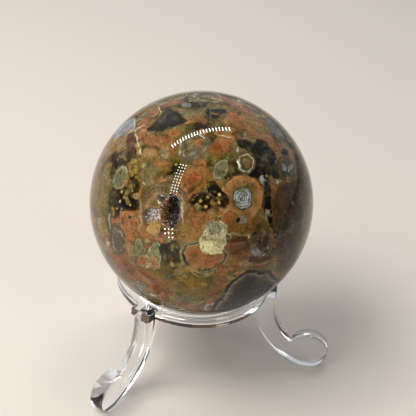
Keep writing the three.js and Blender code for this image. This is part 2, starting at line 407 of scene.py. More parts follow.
LEFT_ZONE = [
    ("haze", 118, 140, 30, 9, 47, "a07c5c"), ("haze", 98, 190, 10, 44, 0, "8a7048"),
    ("patch", 124, 129, 17.5, 5.6, 45, "8c99bb"), ("line", 121, 133, 19, 1.4, 45, "a89880"),
    ("patch", 121, 157, 15, 9, 10, "453c1e"), ("patch", 120, 203, 14, 19, 0, "1d1806"),
    ("patch", 134, 187, 7, 17, 5, "3f3516"), ("patch", 113, 168, 4, 12, -12, "2c250e"),
    ("patch", 134, 203, 7, 9, 0, "2e2711"),
    ("patch", 132, 143, 13.5, 6.5, -78, "6d3f3a"), ("patch", 139, 148, 3.2, 8, 8, "9a8650"),
    ("patch", 143, 122, 8, 4, 55, "a8694a"), ("patch", 154, 111, 9, 3.2, 35, "a8694a"),
    ("patch", 142, 133, 4.5, 3, 30, "a56a46"), ("haze", 104, 168, 3.5, 16, -22, "5a5644"),
    ("patch", 109, 172, 2.6, 13, -10, "86753f"), ("patch", 107, 196, 3.0, 12, 4, "8a7440"),
    ("haze", 100, 221, 2.6, 6, 0, "8d8c86"), ("haze", 95, 236, 5, 22, 12, "96754c"),
    ("ring", 120.5, 177, 13.8, 8.8, 72, "7f7c60", "a09a80"), ("patch", 125, 181, 6, 3, 48, "9c7048"),
    ("line", 121, 172, 4, 1.0, 55, "3a3c3a"),
    ("bead", 135, 162, 5, 5, 0, "9c8a48"), ("bead", 137, 169, 5, 6, 0, "947e3c"),
    ("bead", 133, 174, 4, 4, 0, "a08f50"), ("bead", 139, 177, 3, 3, 0, "8a7434"),
    ("bead", 130, 187, 4.5, 4, -40, "8a7440"), ("bead", 127, 193, 3.5, 4.5, 0, "8f7c44"),
    ("bead", 128, 201, 3, 5, 0, "8a7a48"), ("bead", 137, 197, 3.6, 3.8, 0, "a08c5c"),
    ("bead", 129, 182, 2.5, 2, 0, "8a5a40"), ("bead", 114, 212, 2.8, 6, 4, "ac8c18"),
    ("bead", 109, 204, 1.8, 4, 4, "6f6426"), ("haze", 125, 212, 5, 3, 20, "504a28"),
    ("patch", 150, 175, 9, 14, 8, "857a56"), ("bead", 145, 164, 3.2, 3.4, 0, "9a9672"),
    ("bead", 147, 192, 4.4, 4, 0, "83702e"), ("patch", 152, 160, 5, 3, -20, "7d6a30"),
    ("patch", 160, 177, 3, 9, -28, "73582a"), ("haze", 157, 184, 5, 2.6, 45, "7d4636"),
]

TOP_ZONE = [
    ("haze", 172, 103, 15, 4.2, 12, "a5714e"), ("haze", 165, 97, 20, 2.2, 16, "8f8466"),
    ("haze", 205, 92, 26, 2.2, 0, "857c62"), ("patch", 187, 103, 6, 2.6, 0, "7c7e7c"),
    ("haze", 187, 114, 20, 7, -6, "7d7858"), ("haze", 212, 112, 18, 8, -8, "77704f"),
    ("haze", 198, 119, 10, 3.4, -4, "8a6842"),
    ("patch", 201, 107, 6.5, 1.9, 0, "363a34"), ("patch", 205, 104, 2.6, 4.2, -15, "363a34"),
    ("patch", 209, 113, 2.3, 5, 12, "363a34"), ("patch", 218, 110.5, 8.5, 1.9, 6, "3a3d36"),
    ("patch", 217, 116, 5.2, 2.8, -15, "33362e"), ("patch", 223, 112.5, 4, 1.8, 20, "3a3d36"),
    ("haze", 226, 100, 22, 4.5, -12, "9c6447"), ("line", 215, 98.5, 11, 0.9, -17, "bca58c"),
    ("haze", 241, 108, 17, 7, -25, "a06c48"), ("haze", 233, 121, 7, 10, 15, "9c6843"),
    ("patch", 240, 114, 2.6, 1.1, -15, "5c5050"), ("patch", 249, 124, 4.2, 2.0, -12, "574c49"),
    ("patch", 257, 129, 3.4, 2.2, 0, "77706c"), ("haze", 256, 124, 22, 10, -34, "96784f"),
    ("haze", 263, 140, 16, 6.5, -36, "9a6a46"),
    ("bands", 275.5, 128, 14, 6.5, -43, "6a6a6c", "8a8a8c"),
    ("patch", 155, 140, 12, 6.5, 8, "a26a45"), ("patch", 166, 139, 5, 5, 30, "9a5f3c"),
    ("haze", 150, 152, 10, 7, 0, "a88460"), ("haze", 165, 152, 6.5, 8.5, -14, "948468"),
    ("haze", 174, 148, 8, 8, 0, "97683e"), ("patch", 161, 163, 9, 3.8, 6, "a06e48"),
    ("haze", 186, 138, 8, 9, 30, "6f6c48"), ("haze", 172, 180, 4.5, 6, 0, "7d6a54"),
    ("haze", 197, 152, 16, 10, 10, "756a60"), ("haze", 190, 159, 8, 5, 0, "6c5c58"),
    ("patch", 193, 153, 4.6, 3, 20, "8c867e"), ("haze", 207, 143, 6, 5, 40, "6d6650"),
    ("patch", 197, 179, 16, 15, 20, "9c6b3e"), ("nodule", 193, 181, 8.5, 7.5, 20, "a5683c", "9c5630"),
    ("patch", 221, 145.5, 11.5, 10.5, 40, "a0683c"), ("haze", 217, 146, 6.5, 5, 0, "92502a"),
    ("line", 225, 136.5, 9.5, 0.9, -13, "c0ab92"),
    ("ring", 221, 169.5, 12.5, 7.8, 66, "7b7a5e", "9c987e"), ("haze", 230, 165, 3, 8, 6, "5c4a1c"),
]

RIGHT_ZONE = [
    ("haze", 241, 131, 11, 6, -20, "75642e"), ("bead", 238, 134, 5.5, 3.6, -20, "80601c"),
    ("bead", 246, 133, 3.6, 3, 0, "9a9070"), ("bead", 254, 141, 4.6, 3, -20, "8a7c4a"),
    ("haze", 241, 152, 10, 12, 0, "75704a"),
    ("patch", 249, 146, 16, 6, -24, "26281c"), ("patch", 264, 160, 13.5, 16, 10, "1e2118"),
    ("patch", 261, 148, 9, 9, 0, "20231a"), ("patch", 256, 173, 10, 6, -10, "1c1c12"),
    ("patch", 273, 158, 6, 5, 0, "22231a"), ("patch", 259, 175, 9, 5, -20, "1a1a10"),
    ("patch", 275, 171, 6, 9, 0, "2e2a1c"), ("ring", 268, 154, 2.6, 2.6, 0, "20241c", "5c6058"),
    ("patch", 286, 152, 4.4, 4.4, -30, "2a281a"),
    ("orb", 247, 163, 10.5, 11, 0, "806a48", "b4b8b4"), ("line", 238.5, 164, 1.3, 6, 10, "cfd4d8"),
    ("line", 238, 150, 1.3, 4, 0, "a8a890"),
    ("haze", 303, 178, 9, 34, 6, "665448"), ("haze", 298, 160, 2.6, 9, 14, "453e3a"),
    ("haze", 306, 196, 3, 20, 2, "7a5c4c"), ("haze", 300, 215, 6, 20, -4, "57483c"),
    ("patch", 289, 205, 14, 25, 2, "5c3c2b"), ("haze", 284, 200, 6, 14, 2, "6f4a34"),
    ("line", 294, 191, 0.9, 7, -8, "2c0f0c"), ("line", 292.5, 202, 1.0, 7, -14, "2c0f0c"),
    ("line", 296.5, 203, 0.9, 8, 20, "2c0f0c"), ("haze", 309, 203, 2, 8, 0, "5c5e60"),
    ("patch", 286, 168, 11, 12.5, 0, "4c4634"), ("ring", 286.5, 168, 9.5, 11, 0, "54503e", "8a6f58"),
    ("bands", 284.5, 167.5, 5.2, 2.9, -52, "6f7680", "aab0ba"),
    ("bands", 290.5, 168, 5.2, 2.9, 52, "6f7680", "aab0ba"),
    ("line", 287.5, 170.5, 1.0, 3, 0, "34363c"),
    ("patch", 273, 180, 7, 2.8, -52, "8a7050"), ("haze", 271, 176, 2, 2, 0, "7a6c50"),
    ("nodule", 243, 198, 21.5, 25, 0, "a2744a", "98703f"), ("haze", 243, 199, 15.5, 18.5, 0, "786a42"),
    ("patch", 265, 184, 3.4, 9, 42, "8e8d88"), ("patch", 262, 178, 2.2, 3, 0, "a8a7a2"),
    ("patch", 266.5, 192, 4.2, 12, 8, "0e0b06"), ("patch", 267.5, 206, 5, 12, -4, "0d0a06"),
    ("haze", 274.5, 206, 4, 15, 0, "5a4820"), ("bead", 276, 212, 1.8, 1.8, 0, "8a5a30"),
    ("patch", 266.5, 213.5, 3.2, 5.5, 10, "a29e9a"), ("patch", 263, 202, 1.4, 8, 0, "57503e"),
    ("line", 271, 222, 3.2, 10, 20, "0d0a06"), ("line", 276.5, 235, 3.2, 10, 24, "0f0b07"),
    ("line", 281, 245, 2.0, 6, 30, "1a120c"),
]

VUG_ZONE = [
    ("haze", 165, 207, 30, 30, 0, "a87e5a"), ("ring", 164, 208, 26, 25, 20, "a67a56", "88745a"),
    ("ring", 162, 210, 21, 22, 20, "a9805e", "8a785e"), ("haze", 152, 203, 3.4, 10, -20, "82705a"),
    ("haze", 140.5, 214, 2.0, 23, -2, "a08c6c"),
    ("patch", 203, 203, 15.5, 9.5, -6, "2b210d"), ("patch", 216, 190, 11, 7, -38, "251c0a"),
    ("patch", 222, 198, 7, 10, 16, "2e2410"),
    ("haze", 192, 190, 8, 4, 40, "4a3a1c"), ("bead", 213, 202, 4, 3.4, 0, "80703f"),
    ("bead", 197, 208, 4, 4, 0, "8a7c52"), ("bead", 192, 201, 2.2, 1.8, 0, "756530"),
    ("bead", 203, 190, 2.0, 1.6, 0, "7a6226"), ("bead", 209, 186, 1.8, 2.6, 0, "80682a"),
    ("bead", 216, 191, 1.8, 1.4, 0, "6d5a28"), ("bead", 205, 199, 1.6, 2.2, 0, "6a5424"),
    ("bead", 219, 198, 1.8, 2.4, 0, "5f4c22"),
    ("nodule", 154, 228.5, 7, 8.5, -8, "aa885c", "a88450"), ("line", 160.5, 233, 1.4, 5.5, -32, "453a34"),
    ("haze", 147, 213, 7, 5, 20, "5c4c4a"), ("haze", 163, 199, 9, 6.5, -24, "7d7b74"),
    ("haze", 163.5, 198.5, 6, 4, -20, "454744"), ("line", 159, 201.5, 0.8, 3, 30, "d4d6d8"),
    ("line", 164, 202.5, 4.5, 0.8, 4, "d8dadc"), ("line", 162, 195.5, 2.6, 0.7, -30, "c4c8c8"),
    ("line", 167.5, 197, 0.8, 3, -20, "c8cccc"), ("line", 164.8, 199, 1.6, 0.7, 40, "dcdede"),
    ("haze", 158.5, 206.5, 1.4, 6, 0, "b4a898"),
    ("line", 182.5, 211, 1.2, 17, 0, "b49a76"), ("line", 173, 230.5, 9, 1.3, 20, "b49a76"),
]

LOWER_ZONE = [
    ("haze", 134, 256, 12, 22, 30, "836a3a"),
    ("nodule", 129.5, 226, 10.5, 15.5, 10, "a36d42", "9c6238"), ("line", 122.5, 221, 0.9, 6, 8, "5a4020"),
    ("patch", 129.5, 217, 1.3, 1.5, 0, "40200f"), ("patch", 135, 231, 1.2, 1.2, 0, "46240f"),
    ("haze", 139.5, 227, 1.6, 12, -3, "a08c6c"),
    ("orb", 118, 240, 16.5, 9, -70, "77665e", "a08a6c"), ("patch", 118, 240, 12.5, 5.6, -70, "74635c"),
    ("haze", 117, 232, 5, 3, -60, "6a6c72"), ("patch", 129, 247, 4, 12, 22, "a07c54"),
    ("ring", 137, 248, 10, 6.2, 66, "837f60", "9a977c"), ("haze", 138, 247, 4, 2.6, 66, "8c8c7c"),
    ("bead", 147, 242, 4, 3, 0, "9a855c"),
    ("haze", 158, 271, 18, 7, 0, "7f662a"), ("ring", 154, 257, 16.5, 8.6, 82, "888864", "aaa98c"),
    ("haze", 155, 250, 7, 6, 0, "868a66"),
    ("ring", 143.5, 261, 7.2, 7.8, 0, "9a7d58", "a79a80"),
    ("nodule", 144, 262, 3.2, 3.6, 0, "ab6a3c", "a8602f"),
    ("nodule", 153.5, 264, 7.4, 7.4, 0, "a1805c", "99684a"), ("line", 148.3, 265.5, 1.4, 5, -34, "a8a494"),
    ("patch", 171, 253, 12, 13, 20, "39341f"), ("patch", 163, 249, 5, 6, 0, "35321f"),
    ("bead", 168, 241, 3.6, 3.6, 0, "8a8350"), ("bead", 172, 247.5, 3.6, 3.4, 0, "87845e"),
    ("bead", 165, 258, 2.6, 4, 0, "6c6c5c"), ("bead", 171, 259, 3.2, 3.6, 0, "6c4a1a"),
    ("bead", 172, 265, 3, 3.2, 0, "9a8858"), ("bead", 175, 271, 3, 2, 20, "8a8262"),
    ("haze", 188, 236, 15, 15, 0, "9f7a50"), ("patch", 196, 220, 9, 9, 40, "a26f4a"),
    ("haze", 212, 211, 13, 6, 20, "a07048"), ("haze", 190, 222, 3, 8, -10, "8a6a50"),
    ("rims", 204, 256, 24.5, 17.5, 0, "a2693e", "847a5c"),
    ("haze", 196, 253, 6, 3.6, 10, "98502c"), ("haze", 204, 261, 5, 4, 0, "984f2c"),
    ("line", 184.3, 257.5, 1.7, 6, 24, "262420"),
    ("haze", 186, 284, 30, 15, 0, "86661e"), ("haze", 190, 281, 12, 7, 0, "8e7016"),
    ("haze", 200, 292, 14, 8, 0, "8a682a"), ("haze", 205, 284, 5, 3, 0, "a8803a"),
    ("haze", 178, 292, 6, 5, 0, "9a7a34"), ("haze", 191, 268, 9, 5, 10, "a8804a"),
    ("haze", 166, 300, 10, 3, -20, "a06a40"), ("haze", 207, 301, 8, 5, -40, "a66e3e"),
    ("haze", 182, 272, 8, 3, -14, "96805a"),
    ("bead", 186, 276, 4, 1.6, -20, "a08e60"), ("bead", 169, 277, 4, 2.6, 0, "66665a"),
    ("bead", 175, 277, 2.4, 2, 0, "5c5c44"), ("haze", 172, 290, 5, 7, 10, "8c7a5c"),
    ("haze", 177, 299, 8, 4, 0, "8f7c56"),
    ("haze", 112, 253, 16, 7, -52, "96694a"), ("patch", 126, 268, 25, 8.5, -46, "9e6340"),
    ("haze", 128, 268, 12, 6.5, -52, "84441f"), ("patch", 128, 270, 1.8, 2.2, 0, "3c1c10"),
    ("patch", 152, 284, 24, 7, -28, "9c6442"), ("patch", 163, 295, 8, 5, -40, "9c5c34"),
    ("line", 150, 277.5, 22, 1.0, -30, "8a4e28"),
    ("ring", 142, 287, 8.5, 4.6, -42, "898684", "a08a70"), ("patch", 151.5, 290.5, 4, 3, -20, "a06c40"),
    ("patch", 153, 295, 4, 1.2, -10, "cbc3b4"), ("haze", 140, 296, 16, 3, -42, "86624e"),
    ("haze", 178, 304, 24, 3, 3, "98613e"),
]

LOWER_RIGHT_ZONE = [
    ("haze", 240, 222, 16, 10, 0, "7a6236"), ("patch", 229, 216, 7, 5.5, -20, "9b6238"),
    ("haze", 226, 210, 5, 3, 50, "a8906c"), ("patch", 243, 219, 5.4, 4.6, -20, "888480"),
    ("patch", 238.5, 220, 2.2, 3, 0, "14110b"),
    ("haze", 258, 222, 10, 9, 0, "70571f"), ("haze", 250, 219, 4, 16, 6, "92603a"),
    ("haze", 261, 237, 14, 15, 0, "4a3a1a"), ("haze", 285, 240, 16, 30, 10, "46321f"),
    ("haze", 241, 247, 21, 14, -8, "70452a"), ("haze", 240, 239, 13, 4, 6, "5e3118"),
    ("haze", 238, 251, 12, 4, 20, "6d3a1c"), ("line", 238, 234.5, 12, 1.3, -4, "a09078"),
    ("line", 236, 244, 12, 0.9, 12, "8a6248"), ("patch", 248, 236, 1.8, 2, 0, "b09c84"),
    ("bead", 254, 234, 2.6, 2.4, 0, "3a3014"), ("bead", 259, 240, 2.4, 2, 0, "352b12"),
    ("bead", 266, 240, 3.6, 4.6, 0, "41351a"), ("bead", 263, 231, 2.6, 2, 0, "6c5628"),
    ("bead", 257, 227, 2.4, 2, 0, "5e4c20"), ("bead", 265, 249, 3, 1.8, 30, "6a5426"),
    ("haze", 257, 259, 22, 5, 3, "603a20"), ("patch", 249.5, 260.5, 1.8, 1.6, 0, "381408"),
    ("patch", 264, 258, 1.3, 1.2, 0, "3c180c"), ("ring", 255.5, 251.5, 6.6, 5.6, 10, "8b8896", "6a5c50"),
    ("bead", 283, 227, 5, 4.6, 0, "2a2313"), ("haze", 276, 222, 6, 10, -10, "57451f"),
    ("patch", 291, 226, 1.6, 1.6, 0, "3c1c10"), ("haze", 296, 240, 8, 26, -12, "4c382a"),
    ("haze", 288, 262, 18, 8, 35, "402c1e"),
    ("haze", 250, 267, 24, 3.4, -2, "6c5844"), ("haze", 216, 287, 16, 4.6, 44, "8c5a38"),
    ("patch", 218.5, 266, 4.6, 3, 0, "8a5430"), ("patch", 219, 273, 4.6, 2.2, 0, "8a501c"),
    ("bead", 206, 273, 5, 2.2, 20, "9a8458"),
]

VEIN_ZONE = [
    ("line", 165, 118, 1.4, 5, -10, "6f665f"),
    ("line", 134.5, 124, 1.0, 8, 4, "bfae98"), ("line", 137, 139, 1.0, 10, 16, "bfae98"),
    ("line", 140.5, 152, 0.9, 5, 10, "bfae98"), ("line", 140, 127, 0.9, 7, -68, "bfae98"),
    ("line", 130, 132, 0.8, 5, -52, "bfae98"), ("line", 159.5, 109.5, 0.9, 5.5, 24, "bfae98"),
]

CREAM_ZONE = [
    ("haze", 215, 227, 13, 9, -20, "86847c"), ("haze", 210, 246, 9, 8, 0, "d6cea8"),
    ("line", 209, 226, 0.7, 4, 35, "4c4840"), ("line", 214, 223, 0.7, 4, -10, "b8b6ae"),
    ("line", 219, 227, 0.7, 4.6, 20, "4c4840"), ("line", 222, 232, 0.7, 4, -25, "bcbab0"),
    ("line", 212, 233, 0.7, 4, 60, "55514a"), ("line", 217, 236, 0.6, 3.4, 10, "c0bdb0"),
    ("line", 206, 234, 0.6, 3.6, 20, "b8b4a2"),
]

# Straight-sided markings: the corners, how far inside its edge the run of colours starts,
# and that run, from the middle at 0 to the edge.
POLYGONS = {
    "charcoal": (
        [(168, 107.5), (178, 113), (189, 121), (170, 128.5), (151, 133), (145.5, 127.5), (157, 116)], 4,
        [(0, "3f3a38"), (0.5, "47413f"), (0.88, "3a3634"), (0.95, "5c553f")]),
    "agate_core": (
        [(235, 190), (240, 186.5), (245, 187.5), (251, 193), (252.5, 207), (247, 210.5), (238, 210.5),
         (231.5, 206), (232.5, 196)], 3.2,
        [(0, "8b93a4"), (0.14, "5e6474"), (0.24, "9aa2b2"), (0.36, "596070"), (0.48, "a7b0bf"),
         (0.58, "6c7484"), (0.68, "b2b8c2"), (0.79, "62666e"), (0.87, "a5abb4"), (0.94, "3a3a32")]),
    "cream_patch": (
        [(199, 239), (206, 228), (214, 218.5), (221, 218.5), (229.5, 226), (225.5, 240), (221.5, 253.5),
         (210, 254.5), (201.5, 249)], 3,
        [(0, "aaa288"), (0.8, "b0a88c"), (0.9, "c2bca2"), (0.96, "77745c")]),
    "dark_agate": (
        [(202, 305), (213, 292.5), (229, 281), (234, 273), (246, 269), (270, 270), (279, 278), (296, 300),
         (250, 330), (202, 330)], 6,
        [(0, "221b18"), (0.46, "241d1a"), (0.52, "4a4240"), (0.58, "352d2e"), (0.66, "61565a"),
         (0.74, "6d6266"), (0.79, "91868a"), (0.83, "3a302e"), (0.9, "141010"), (0.96, "2a221c")]),
}
MARKINGS = [
    *LEFT_ZONE, *TOP_ZONE, ("charcoal",), *VEIN_ZONE, *RIGHT_ZONE, ("agate_core",), *VUG_ZONE,
    *LOWER_ZONE, *LOWER_RIGHT_ZONE, ("cream_patch",), *CREAM_ZONE, ("dark_agate",),
]

# What turns a marking's colour, as it looks in the photographed light, into the stone's own.
MARKING_GAIN = (0.59, 0.595, 0.52)
# The whole stone's contrast: brightness to this power, about the brightness in the middle.
STONE_CONTRAST = 0.44
STONE_MIDDLE = 0.13
LUMINANCE = (0.33, 0.5, 0.17)
STONE_SPECULAR = 0.24
STONE_ROUGHNESS = 0.06
# The groundmass: its colours, how large its zones are, and how noise bends it and what is
# laid on it, as the size of the lumps, how far they shift a place, and their detail.
GROUND_COLOURS = [(0.30, "1f1a09"), (0.40, "453a18"), (0.46, "75642f"), (0.52, "8f7648"),
                  (0.58, "9c7048"), (0.66, "9c623c"), (0.78, "857c5c")]
GROUND_ZONE_SIZE = 11
SHARP_BEND = (1.4, 1.3, 4)
SOFT_BEND = (6.0, 2.6, 2)
BEAD_BEND = (1.0, 0.5, 3)
# How the mottling and the grain tint what is under them, and the small beads and dark specks.
CLOUDS = [(0.3, (0.48, 0.45, 0.36)), (0.42, (0.76, 0.73, 0.64)), (0.52, (0.97, 0.96, 0.92)),
          (0.64, (1.0, 0.95, 0.88)), (0.76, (1.0, 1.0, 0.94))]
GRAIN = [(0.28, (0.42, 0.41, 0.36)), (0.45, (0.85, 0.84, 0.81)), (0.6, (1.05, 1.04, 1.02))]
SEEP = [(0.52, (0.09, 0.075, 0.02, 0)), (0.62, (0.09, 0.075, 0.02, 0.6)), (0.75, (0.05, 0.04, 0.01, 0.85))]
PALE = [(0.55, (0.34, 0.29, 0.2, 0)), (0.72, (0.36, 0.32, 0.22, 0.28))]
SMALL_BEAD = [(0, (0.36, 0.26, 0.11, 0.9)), (0.2, (0.3, 0.22, 0.08, 0.85)), (0.34, (0.12, 0.09, 0.03, 0.6)),
              (0.42, (0.03, 0.02, 0.01, 0))]
SPECK = [(0, (0.05, 0.045, 0.02, 0.85)), (0.2, (0.05, 0.045, 0.02, 0.7)), (0.34, (0.05, 0.045, 0.02, 0))]
# The size and strength of the mottling and grain, then how far apart beads and specks lie
# and the share of places without one. Beads show where the colour is dark and olive: a
# factor and an offset for its red, and for its blue over its red.
CLOUD_SIZE, CLOUD_SHARE = 3.0, 0.9
GRAIN_SIZE, GRAIN_SHARE = 0.6, 0.85
BEAD_SPACING, BEAD_ABSENCE = 1.5, 0.5
SPECK_SPACING, SPECK_ABSENCE = 1.1, 0.8
BEAD_DARKNESS = (-26, 1.4)
BEAD_OLIVE = (-8, 2.6)

# Nodules of the ground: how rare each kind is, the kind, and its colours. They are drawn
# in two sizes: how far apart they lie, and how much of that they may fill.
GROUND_NODULES = [
    (0.25, "nodule", "a36d42", "9c5c34"), (0.55, "orb", "83704a", "b0b2ac"),
    (0.8, "rims", "7f7c60", "9a8a68"),
]
NODULE_CELLS = ((9.5, 0.62), (3.8, 0.5))

# The front is shaded in square regions, so that no one material holds every marking. The
# markings fade out over a short depth, and the back, without them, starts behind it.
REGION_SIZE = 19
REGION_STARTS = tuple(range(88, 316, REGION_SIZE))
REGION_MARGIN = 6
FRONT_FADE = 0.7
BACK_DEPTH = -2.0


def towards(across, down):
    """The direction from the camera through a pixel, and where it meets the ball or passes nearest."""
    half = FRAME_PIXELS / 2
    ray = ((across - half) / FOCAL_PIXELS * CAMERA_RIGHT + (half - down) / FOCAL_PIXELS * CAMERA_UP
           + CAMERA_FORWARD).normalized()
    along = CAMERA_PLACE.dot(ray)
    inside = along ** 2 - CAMERA_PLACE.length_squared + STONE_RADIUS ** 2
    return ray, CAMERA_PLACE + ray * (-along - math.sqrt(max(0.0, inside)))


def on_layout(across, down):
    """Where a pixel's ray meets the stone, on the layout plane, in millimetres."""
    point = towards(across, down)[1]
    return point.dot(LAYOUT_RIGHT), point.dot(LAYOUT_UP)


def stone_colour(text):
    """A marking's own colour, without the photographed light."""
    return (*(min(1.0, c * gain) for c, gain in zip(rgb(text), MARKING_GAIN)), 1.0)


def in_stone(stops):
    return [(at, stone_colour(text)) for at, text in stops]


# How each kind of marking runs from its middle at 0 to its edge at 1. A stop is its
# position, how bright it is, its share of the second colour, and how solid it is.
RUNS = {
    "patch": [(0, 1, 0, 0.96), (0.68, 0.97, 0, 0.94), (0.87, 0.82, 0, 0.78), (1, 0.7, 0, 0)],
    "haze": [(0, 1, 0, 0.9), (0.45, 1, 0, 0.8), (1, 1, 0, 0)],
    "line": [(0, 1, 0, 1), (0.5, 1, 0, 1), (1, 1, 0, 0)],
    "bead": [(0, 1.1, 0, 1), (0.5, 0.98, 0, 1), (0.76, 0.8, 0, 1), (0.88, 0.3, 0, 0.9), (1, 0.2, 0, 0)],
    "ring": [(0, 1, 0, 1), (0.5, 0.92, 0, 1), (0.7, 1.05, 0, 1), (0.79, 0.84, 1, 1), (0.86, 0.84, 1, 1),
             (0.92, 0.45, 0, 0.9), (1, 0.4, 0, 0)],
    "nodule": [(0, 1, 1, 1), (0.3, 1.05, 1, 1), (0.55, 0.92, 0, 1), (0.78, 1.05, 0, 1), (0.87, 1.25, 0, 1),
               (0.93, 0.5, 0, 0.85), (1, 0.4, 0, 0)],
    "orb": [(0, 1.25, 0, 1), (0.36, 1.1, 0, 1), (0.42, 0.5, 0, 1), (0.5, 0.75, 0, 1), (0.62, 0.95, 0, 1),
            (0.69, 1, 1, 1), (0.74, 0.8, 1, 1), (0.79, 0.6, 0, 1), (0.86, 0.9, 0, 1), (0.93, 0.7, 0, 1),
            (1, 0.4, 0, 0)],
    "rims": [(0, 1, 0, 1), (0.55, 0.92, 0, 1), (0.7, 1.1, 0, 1), (0.755, 1.35, 1, 1), (0.79, 0.5, 1, 1),
             (0.83, 0.35, 1, 1), (0.88, 1, 1, 1), (0.93, 1.35, 1, 1), (0.96, 0.7, 1, 0.9), (1, 0.5, 1, 0)],
    "bands": [(0, 0.7, 1, 1), (0.14, 0.7, 0, 1), (0.26, 1, 1, 1), (0.36, 0.8, 0, 1), (0.48, 0.95, 1, 1),
              (0.58, 0.75, 0, 1), (0.68, 1.1, 1, 1), (0.77, 0.6, 0, 1), (0.86, 0.9, 1, 1),
              (0.93, 0.45, 0, 0.9), (1, 0.4, 0, 0)],
}
BRIGHTEST = 2.0


def run_colour(tree, share, run, first, second):
    """The colour and solidity of a marking at a share of its reach."""
    ramp = tree.ramp(share, [(at, (tone / BRIGHTEST, other, 0, solid)) for at, tone, other, solid in run])
    tone, other = tree.parts(ramp.outputs["Color"])[:2]
    blended = tree.mix(other, first, second)
    return tree.scaled(blended, tree.math("MULTIPLY", tone, BRIGHTEST)), ramp.outputs["Alpha"]


def ellipse_group(kind):
    """Lays one elliptical marking of a kind on the colour that is already there."""
    tree = Group("marking_" + kind, (("flat", "vector"), ("middle", "vector"), ("turn", "vector"),
                 ("size", "vector"), ("first", "colour"), ("second", "colour"), ("under", "colour")),
                 (("colour", "colour"),))
    local = tree.add("ShaderNodeMapping", vector_type="TEXTURE")
    for socket, value in zip(local.inputs, (tree.inputs[n] for n in ("flat", "middle", "turn", "size"))):
        tree.put(socket, value)
    share = tree.vector("LENGTH", local.outputs["Vector"])
    colour, solid = run_colour(tree, share, RUNS[kind], tree.inputs["first"], tree.inputs["second"])
    return tree.finish(tree.mix(solid, tree.inputs["under"], colour))


def polygon_group(name, corners, depth, stops):
    """Lays one straight-sided marking; its run of colours starts depth inside its edge."""
    tree = Group("marking_" + name, (("flat", "vector"), ("under", "colour")), (("colour", "colour"),))
    points = [Vector(on_layout(*corner)) for corner in corners]
    middle = sum(points, Vector((0, 0))) / len(points)
    edge = None
    for i, point in enumerate(points):
        side = points[(i + 1) % len(points)] - point
        outward = Vector((side.y, -side.x)).normalized()
        if outward.dot(point - middle) < 0:
            outward.negate()
        away = tree.vector("DOT_PRODUCT", tree.inputs["flat"], (*outward, -outward.dot(point)))
        edge = away if edge is None else tree.math("MAXIMUM", edge, away)
    share = tree.math("MULTIPLY_ADD", edge, 1 / depth, 1.0, clamp=True)
    run = in_stone(stops)
    ramp = tree.ramp(share, run + [(1.0, (*run[-1][1][:3], 0.0))])
    return tree.finish(tree.mix(ramp.outputs["Alpha"], tree.inputs["under"], ramp.outputs["Color"]))


def bent(tree, vector, size, amount, detail):
    """A place shifted by noise, so that what is laid on it has an uneven edge."""
    lumps = tree.noise(vector, size, detail=detail, colour=True)
    shift = tree.vector("SUBTRACT", lumps, (0.5, 0.5, 0.5))
    return tree.vector("ADD", vector, tree.scaled(shift, amount))


def laid_out(tree, vector):
    """A place on the layout plane, with 1 as its third number."""
    flat = tree.add("ShaderNodeCombineXYZ")
    tree.put(flat.inputs[0], tree.vector("DOT_PRODUCT", vector, tuple(LAYOUT_RIGHT)))
    tree.put(flat.inputs[1], tree.vector("DOT_PRODUCT", vector, tuple(LAYOUT_UP)))
    flat.inputs[2].default_value = 1.0
    return flat.outputs[0]


def ground_group():
    """The mottled groundmass, with round nodules of several kinds scattered in it."""
    tree = Group("stone_ground", (("place", "vector"),),
                 (("colour", "colour"), ("flat", "vector"), ("sharp", "vector"), ("front", "number")))
    sharp_place = bent(tree, tree.inputs["place"], *SHARP_BEND)
    place = bent(tree, sharp_place, *SOFT_BEND)
    zones = tree.noise(place, GROUND_ZONE_SIZE, detail=5, roughness=0.6)
    colour = tree.ramp(zones, in_stone(GROUND_COLOURS)).outputs["Color"]
    for size, reach in NODULE_CELLS:
        nearest = tree.cells(place, size)
        width, chance = tree.parts(nearest.outputs["Color"])[:2]
        spread = tree.math("MULTIPLY_ADD", width, 0.5 * reach, 0.5 * reach)
        share = tree.math("DIVIDE", nearest.outputs["Distance"], spread)
        for least, kind, first, second in GROUND_NODULES:
            made, solid = run_colour(tree, share, RUNS[kind], stone_colour(first), stone_colour(second))
            picked = tree.math("GREATER_THAN", chance, least)
            colour = tree.mix(tree.math("MULTIPLY", picked, solid), colour, made)
    depth = tree.vector("DOT_PRODUCT", place, tuple(LAYOUT_OUT))
    front = tree.math("MULTIPLY_ADD", depth, FRONT_FADE, 0.0, clamp=True)
    return tree.finish(colour, laid_out(tree, place), laid_out(tree, sharp_place), front)


def scattered(tree, colour, place, spacing, absence, stops, where):
    """The colour with small round marks on it, in a share of the cells of a place."""
    cells = tree.cells(place, spacing)
    mark = tree.ramp(cells.outputs["Distance"], stops)
    present = tree.math("GREATER_THAN", tree.parts(cells.outputs["Color"])[0], absence)
    solid = tree.math("MULTIPLY", tree.math("MULTIPLY", present, where), mark.outputs["Alpha"])
    return tree.mix(solid, colour, mark.outputs["Color"])


